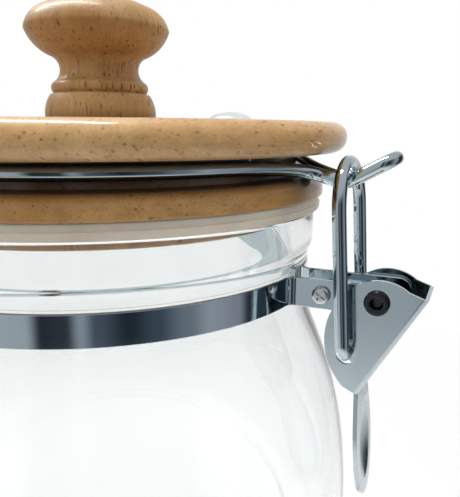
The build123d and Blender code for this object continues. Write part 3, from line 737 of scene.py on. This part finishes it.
def makeBail():
    s = tongue
    radius = wire["radius"]
    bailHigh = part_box("bail_ring")[1]
    ring = bailHigh.y - radius
    tipX = bailHigh.x - radius
    z = discLow.z - s["ringDrop"]
    dip, rise, leave = (math.radians(s[key]) for key in ("dip", "rise", "leave"))
    x, y, up = Vector((1, 0, 0)), Vector((0, 1, 0)), Vector((0, 0, 1))
    corner, arm = s["armCorner"], s["armHalf"]
    # from the hinge pin up the rear arm and forward to the ring
    path = WirePath(hinge + y * s["pinReach"])
    path.lineTo(hinge + y * (arm - corner))
    path.arcAbout(hinge + y * (arm - corner) + up * corner, x, 90, 2)
    path.lineTo(Vector((hinge.x, arm, z - corner)))
    path.arcAbout(Vector((hinge.x + corner, arm, z - corner)), y, 90, 2)
    armX = math.sqrt((ring + s["armBend"]) ** 2 - (arm + s["armBend"]) ** 2)
    armAngle = math.degrees(math.atan2(arm + s["armBend"], armX))
    path.lineTo(Vector((-armX, arm, z)))
    path.arcAbout(Vector((-armX, arm + s["armBend"], z)), up, 90 - armAngle, 2)
    path.arcAbout(Vector((0, 0, z)), up, s["leave"] - 180 + armAngle, 8)
    # off the ring, down to the crook and up the tongue
    end = path.knots[-1][0]
    foot = Vector((s["start"], s["halfWidth"], z - s["drop"]))
    path.curveTo(
        end + Vector((math.sin(leave), -math.cos(leave), 0)) * s["easeIn"],
        foot + Vector((-math.cos(dip), 0, math.sin(dip))) * s["easeOut"],
        foot,
    )
    crookZ = foot.z - (s["crook"] - s["start"]) * math.tan(dip)
    crook = Vector((s["crook"], s["halfWidth"], crookZ))
    fall = Vector((math.cos(dip), 0, -math.sin(dip)))
    climb = Vector((math.cos(rise), 0, math.sin(rise)))
    bendStart = crook - fall * s["bend"] * math.tan((dip + rise) / 2)
    bendCentre = bendStart + Vector((math.sin(dip), 0, math.cos(dip))) * s["bend"]
    path.lineTo(bendStart)
    path.arcAbout(bendCentre, -y, s["dip"] + s["rise"], 2)
    tip = Vector((tipX, 0, crookZ + (tipX - s["crook"]) * math.tan(rise)))
    turnCentre = tip - climb * s["halfWidth"]
    path.lineTo(turnCentre + y * s["halfWidth"])
    path.arcAbout(turnCentre, climb.cross(y), -90, 2)
    path.mirror()
    path.make("bailWire", radius, "lid", ["bail_ring"], finishes["wireChrome"])


makeLink()
makeBail()
print("wires made")


discShape = {"edge": 3.55 * mm}


def makeTopDisc():
    edge = discShape["edge"]
    line = roundedOutline([
        (0, discLow.z), (discHigh.x, discLow.z, edge), (discHigh.x, discHigh.z, edge), (0, discHigh.z),
    ], steps=14)
    place("lidTop", lathe(line, steps=192), "lid", ["lid_top_disc"], finishes["topWood"], 60)


baseShape = {
    "thick": 5 * mm, "lowerRound": 0.5 * mm, "upperRound": 3.2 * mm, "waist": 52.3 * mm, "waistRound": 0.3 * mm,
    "plug": 49.8 * mm, "plugEdge": 0.7 * mm, "plugDepth": 6.8 * mm,
}


def makeBaseDisc():
    s = baseShape
    low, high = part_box("lid_base_disc")
    under = low.z + s["plugDepth"]
    over = under + s["thick"]
    line = roundedOutline([
        (0, low.z), (s["plug"], low.z, s["plugEdge"]), (s["plug"], under), (high.x, under, s["lowerRound"]),
        (high.x, over, s["upperRound"]), (s["waist"], over, s["waistRound"]), (s["waist"], high.z), (0, high.z),
    ], steps=10)
    place("lidBase", lathe(line, steps=192), "lid", ["lid_base_disc"], finishes["baseWood"], 50)


gasketShape = {
    "inside": 49.9 * mm, "step": 0.7 * mm, "inset": 0.2 * mm, "faceRound": 0.5 * mm, "lipRound": 0.35 * mm,
    "lipDrop": 0.1 * mm, "stepRise": 0.15 * mm, "stepRound": 0.15 * mm,
}


def makeGasket():
    s = gasketShape
    low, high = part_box("gasket")
    outer = high.x
    middle = (low.z + high.z) / 2
    line = roundedOutline([
        (s["inside"], low.z), (outer - s["inset"], low.z, s["faceRound"]),
        (outer, middle - s["lipDrop"], s["lipRound"]),
        (outer - s["step"] * 0.6, middle + s["stepRise"], s["stepRound"]),
        (outer - s["step"] * 0.5, high.z, s["faceRound"]), (s["inside"], high.z), (s["inside"], low.z),
    ], steps=5)
    place("gasketRing", lathe(line, steps=160), "lid", ["gasket"], finishes["silicone"], 50)


# each swell is the share of a section's height at which it is widest or narrowest
knobShape = {
    "foot": 14.5 * mm, "footHeight": 7.3 * mm, "footInset": 0.2 * mm, "footSwell": 0.4, "footOver": 0.4 * mm,
    "footDrop": 0.3 * mm, "grooveDepth": 0.55 * mm, "grooveRound": 0.15 * mm, "grooveOut": 0.35 * mm,
    "grooveRise": 0.35 * mm, "collar": 12.6 * mm, "collarHeight": 2.7 * mm, "collarSwell": 0.55,
    "collarIn": 0.4 * mm, "collarDrop": 0.1 * mm, "stepIn": 0.6 * mm, "stepRise": 0.05 * mm, "stepRound": 0.2 * mm,
    "neck": 10.1 * mm, "neckHeight": 6.9 * mm, "neckFoot": 1.7 * mm, "neckFootRise": 0.2 * mm, "neckSwell": 0.46,
    "neckFlare": 2.5 * mm, "under": 6.3 * mm, "underIn": 2.26 * mm, "underSwell": 0.4, "upper": 5.3 * mm,
    "upperIn": 1.2 * mm, "upperSwell": 0.55, "crown": 14 * mm, "crownHeight": 3.2 * mm, "crownSteps": 14,
}


def makeKnob():
    s = knobShape
    low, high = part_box("knob")
    seat, cap = low.z, high.x
    foot, collar, neck, crown = s["foot"], s["collar"], s["neck"], s["crown"]
    footTop = seat + s["footHeight"]
    collarTop = footTop + s["collarHeight"]
    neckTop = collarTop + s["neckHeight"]
    widest = neckTop + s["under"]
    crownFoot = widest + s["upper"]
    line = [Vector((0, seat)), Vector((foot - s["footInset"], seat))]
    line += arcThrough(
        line[-1], (foot, seat + s["footHeight"] * s["footSwell"]),
        (collar + s["footOver"], footTop - s["footDrop"]), steps=14,
    )
    line += roundedOutline([
        line[-1], (collar - s["grooveDepth"], footTop, s["grooveRound"]),
        (collar - s["grooveOut"], footTop + s["grooveRise"]),
    ], steps=4)[1:]
    line += arcThrough(
        line[-1], (collar, footTop + s["collarHeight"] * s["collarSwell"]),
        (collar - s["collarIn"], collarTop - s["collarDrop"]), steps=8,
    )
    line += roundedOutline([
        line[-1], (collar - s["stepIn"], collarTop + s["stepRise"], s["stepRound"]),
        (neck + s["neckFoot"], collarTop + s["neckFootRise"]),
    ], steps=4)[1:]
    line += arcThrough(
        line[-1], (neck, collarTop + s["neckHeight"] * s["neckSwell"]), (neck + s["neckFlare"], neckTop), steps=18
    )
    line += arcThrough(
        line[-1], (cap - s["underIn"], neckTop + s["under"] * s["underSwell"]), (cap, widest), steps=16
    )
    line += arcThrough(
        line[-1], (cap - s["upperIn"], widest + s["upper"] * s["upperSwell"]), (crown, crownFoot), steps=12
    )
    # the crown is a cap of a ball
    ball = (crown ** 2 + s["crownHeight"] ** 2) / (2 * s["crownHeight"])
    most = math.asin(crown / ball)
    for k in range(1, s["crownSteps"] + 1):
        angle = most * (1 - k / s["crownSteps"])
        line.append(Vector((ball * math.sin(angle), crownFoot + s["crownHeight"] - ball * (1 - math.cos(angle)))))
    place("knobTurned", lathe(line, steps=128), "lid", ["knob"], finishes["knobWood"], 32)


knobScrewShape = {
    "shank": 2.4 * mm, "recess": 1.5 * mm, "recessDepth": 1.8 * mm, "recessRound": 0.15 * mm, "headRound": 0.1 * mm,
}


def makeKnobScrew():
    s = knobScrewShape
    low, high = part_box("knob_screw")
    head, shank, recessTop = high.x, s["shank"], low.z + s["recessDepth"]
    line = roundedOutline([
        (0, recessTop), (s["recess"], recessTop), (s["recess"], low.z, s["recessRound"]),
        (head, low.z, s["headRound"]), (shank, low.z + head - shank), (shank, high.z - shank), (0, high.z),
    ], steps=4)
    place("knobScrew", lathe(line, steps=48), "lid", ["knob_screw"], finishes["screwSteel"])


ventShape = {
    "wall": 1 * mm, "wallRound": 0.4 * mm, "stepIn": 0.8 * mm, "stepHeight": 1.35 * mm, "stemInside": 1.5 * mm,
    "stem": 3.2 * mm, "stemRound": 0.2 * mm,
}


def makeVentCap(centre):
    s = ventShape
    radius = (capHigh.x - capLow.x) / 2
    seat = discHigh.z
    rise = capHigh.z - seat
    line = roundedOutline([
        (0, seat), (radius, seat), (radius, seat + s["wall"], s["wallRound"]),
        (radius - s["stepIn"], seat + s["stepHeight"]),
    ], steps=5)
    line += bow(
        line[-1], (radius * 0.75, seat + rise * 0.8), (radius * 0.35, seat + rise), (0, seat + rise), steps=16
    )
    cap = lathe(line, steps=64)
    # the stem through the discs
    stem = meshFrom("stem", lathe(roundedOutline([
        (s["stemInside"], seat), (s["stemInside"], capLow.z), (s["stem"], capLow.z, s["stemRound"]),
        (s["stem"], seat), (s["stemInside"], seat),
    ], steps=3), steps=40))
    cap.from_mesh(stem)
    bpy.data.meshes.remove(stem)
    bmesh.ops.translate(cap, verts=cap.verts, vec=centre)
    place("ventCap", cap, "lid", ["vent_cap"], finishes["cap"])


flapShape = {
    "middle": 0.4, "middleRound": 0.3 * mm, "rimDrop": 0.7, "rimRound": 0.25 * mm, "rimIn": 0.2 * mm,
    "rimTopRound": 0.1 * mm, "stem": 1.4 * mm, "stemRound": 0.3 * mm,
}


def makeVentFlap(centre):
    s = flapShape
    low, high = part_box("vent_flap")
    top = capLow.z
    thick = top - low.z
    radius = (high.x - low.x) / 2
    flap = lathe(roundedOutline([
        (0, low.z), (radius * s["middle"], low.z, s["middleRound"]),
        (radius, top - thick * s["rimDrop"], s["rimRound"]), (radius - s["rimIn"], top, s["rimTopRound"]),
        (s["stem"], top), (s["stem"], high.z, s["stemRound"]), (0, high.z),
    ], steps=4), steps=48)
    bmesh.ops.translate(flap, verts=flap.verts, vec=centre)
    place("ventFlap", flap, "lid", ["vent_flap"], finishes["silicone"])


makeTopDisc()
makeBaseDisc()
makeGasket()
makeKnob()
makeKnobScrew()
ventCentre = Vector(((capLow.x + capHigh.x) / 2, (capLow.y + capHigh.y) / 2, 0))
makeVentCap(ventCentre)
makeVentFlap(ventCentre)
print("wooden lid, gasket, knob and vent made")


shot = {
    "from": (94.7 * mm, -124.2 * mm), "belowLid": 2.2 * mm, "heading": 114.5, "pitch": -12.05, "roll": 0.17,
    "lens": 39.83, "sensor": 36, "nearest": 5 * mm,
}


def makeCamera():
    data = bpy.data.cameras.new("camera")
    data.lens = shot["lens"]
    data.sensor_width = shot["sensor"]
    data.clip_start = shot["nearest"]
    camera = addObject("camera", data)
    heading, pitch = math.radians(shot["heading"]), math.radians(shot["pitch"])
    look = Vector((math.cos(pitch) * math.cos(heading), math.cos(pitch) * math.sin(heading), math.sin(pitch)))
    turn = look.to_track_quat("-Z", "Y").to_matrix().to_4x4() @ Matrix.Rotation(math.radians(shot["roll"]), 4, "Z")
    camera.matrix_world = Matrix.Translation((*shot["from"], discHigh.z - shot["belowLid"])) @ turn
    bpy.context.scene.camera = camera


# the floor fades out between two distances from the middle, in metres
floorLook = {"radius": 1.6, "colour": (0.68, 0.68, 0.685, 1), "rough": 0.6, "fadeStart": 0.12, "fadeEnd": 0.42}


def makeFloor():
    s = floorLook
    bm = bmesh.new()
    bmesh.ops.create_circle(bm, cap_ends=True, segments=96, radius=s["radius"])
    floor = addObject("floor", meshFrom("floor", bm))
    paint = Finish("paleFloor", Base_Color=s["colour"], Roughness=s["rough"])
    reach = paint.node("ShaderNodeVectorMath", {"operation": "LENGTH"}, {0: paint.place}, "Value")
    clear = paint.node("ShaderNodeBsdfTransparent", {}, {})
    solid = Value(paint.tree, paint.shader.outputs[0])
    fade = paint.ease(reach, s["fadeStart"], s["fadeEnd"])
    paint.show(paint.node("ShaderNodeMixShader", {}, {0: fade, 1: solid, 2: clear}))
    floor.data.materials.append(paint.material)


lightAim = (0, 0, 0.14)
lights = [
    {"name": "keyBox", "at": (-0.55, -0.75, 0.7), "size": (0.6, 0.6), "power": 4.0, "colour": (1, 0.985, 0.96)},
    {"name": "topBox", "at": (0.1, 0.05, 1.0), "size": (0.8, 0.8), "power": 9.0, "colour": (1, 1, 1)},
    {"name": "stripBox", "at": (-0.4, 0.03, 0.98), "size": (0.14, 1.0), "power": 17.0, "colour": (1, 0.99, 0.97)},
    {"name": "rimBox", "at": (0.9, 0.35, 0.5), "size": (0.35, 0.6), "power": 1.6, "colour": (0.97, 0.985, 1)},
]


def makeLights():
    for s in lights:
        data = bpy.data.lights.new(s["name"], "AREA")
        data.shape = "RECTANGLE"
        data.size, data.size_y = s["size"]
        data.energy = s["power"]
        data.color = s["colour"]
        light = addObject(s["name"], data)
        # the strip gives only the streaks of shine, and the boxes give only light
        light.visible_glossy = s["name"] == "stripBox"
        light.visible_diffuse = s["name"] != "stripBox"
        turn = (Vector(lightAim) - Vector(s["at"])).to_track_quat("-Z", "Y").to_matrix().to_4x4()
        light.matrix_world = Matrix.Translation(s["at"]) @ turn


# what the metal mirrors: tones by compass angle in degrees, and what is overhead and underfoot
room = {
    "round": [
        (-180, (0.30, 0.31, 0.33)), (-140, (0.36, 0.38, 0.40)), (-112, (0.52, 0.54, 0.56)),
        (-94, (0.46, 0.49, 0.52)), (-86, (0.03, 0.035, 0.045)), (-74, (0.04, 0.05, 0.06)),
        (-67, (0.34, 0.37, 0.41)), (-60, (0.09, 0.11, 0.14)), (-44, (0.02, 0.03, 0.04)),
        (-30, (0.06, 0.08, 0.105)), (-14, (0.20, 0.225, 0.26)), (0, (0.40, 0.41, 0.46)),
        (16, (0.30, 0.31, 0.35)), (24, (0.03, 0.035, 0.045)), (50, (0.04, 0.045, 0.055)),
        (68, (0.6, 0.61, 0.63)), (100, (0.95, 0.95, 0.96)), (160, (0.8, 0.8, 0.82)), (180, (0.30, 0.31, 0.33)),
    ],
    "overhead": (0.6, 0.61, 0.63), "overheadRise": (0.25, 0.7), "underfoot": (0.12, 0.13, 0.145),
    "underfootRise": (-0.34, -0.6), "diffuse": 0.74, "throughGlass": (0.87, 0.875, 0.88),
}


def makeWorld():
    # white behind the object, and a quieter room for what the metal mirrors
    world = bpy.data.worlds.new("studio")
    bpy.context.scene.world = world
    studio = Nodes(world)
    direction = studio.node("ShaderNodeTexCoord", {}, {}, "Generated")
    height = studio.node("ShaderNodeSeparateXYZ", {}, {0: direction}, "Z")
    compass = studio.node("ShaderNodeTexGradient", {"gradient_type": "RADIAL"}, {0: direction}, "Fac")
    stops = [(0.5 + degrees / 360, colour) for degrees, colour in room["round"]]
    colour = studio.node("ShaderNodeValToRGB", {"between": "EASE", "stops": stops}, {0: compass})
    for part in ("overhead", "underfoot"):
        colour = studio.blend(studio.ease(height, *room[part + "Rise"]), colour, room[part])
    shown = studio.node("ShaderNodeBackground", {}, {"Color": colour})
    seen = {
        "Is Diffuse Ray": {"Strength": room["diffuse"]},
        "Is Transmission Ray": {"Color": (*room["throughGlass"], 1)},
        "Is Camera Ray": {"Color": (1, 1, 1, 1)},
    }
    for ray, look in seen.items():
        path = studio.node("ShaderNodeLightPath", {}, {}, ray)
        backdrop = studio.node("ShaderNodeBackground", {}, look)
        shown = studio.node("ShaderNodeMixShader", {}, {0: path, 1: shown, 2: backdrop})
    studio.show(shown)


makeCamera()
makeFloor()
makeLights()
makeWorld()
scene = bpy.context.scene
scene.view_settings.view_transform = "Standard"
scene.view_settings.exposure = 0.0
print("camera, floor and light made")
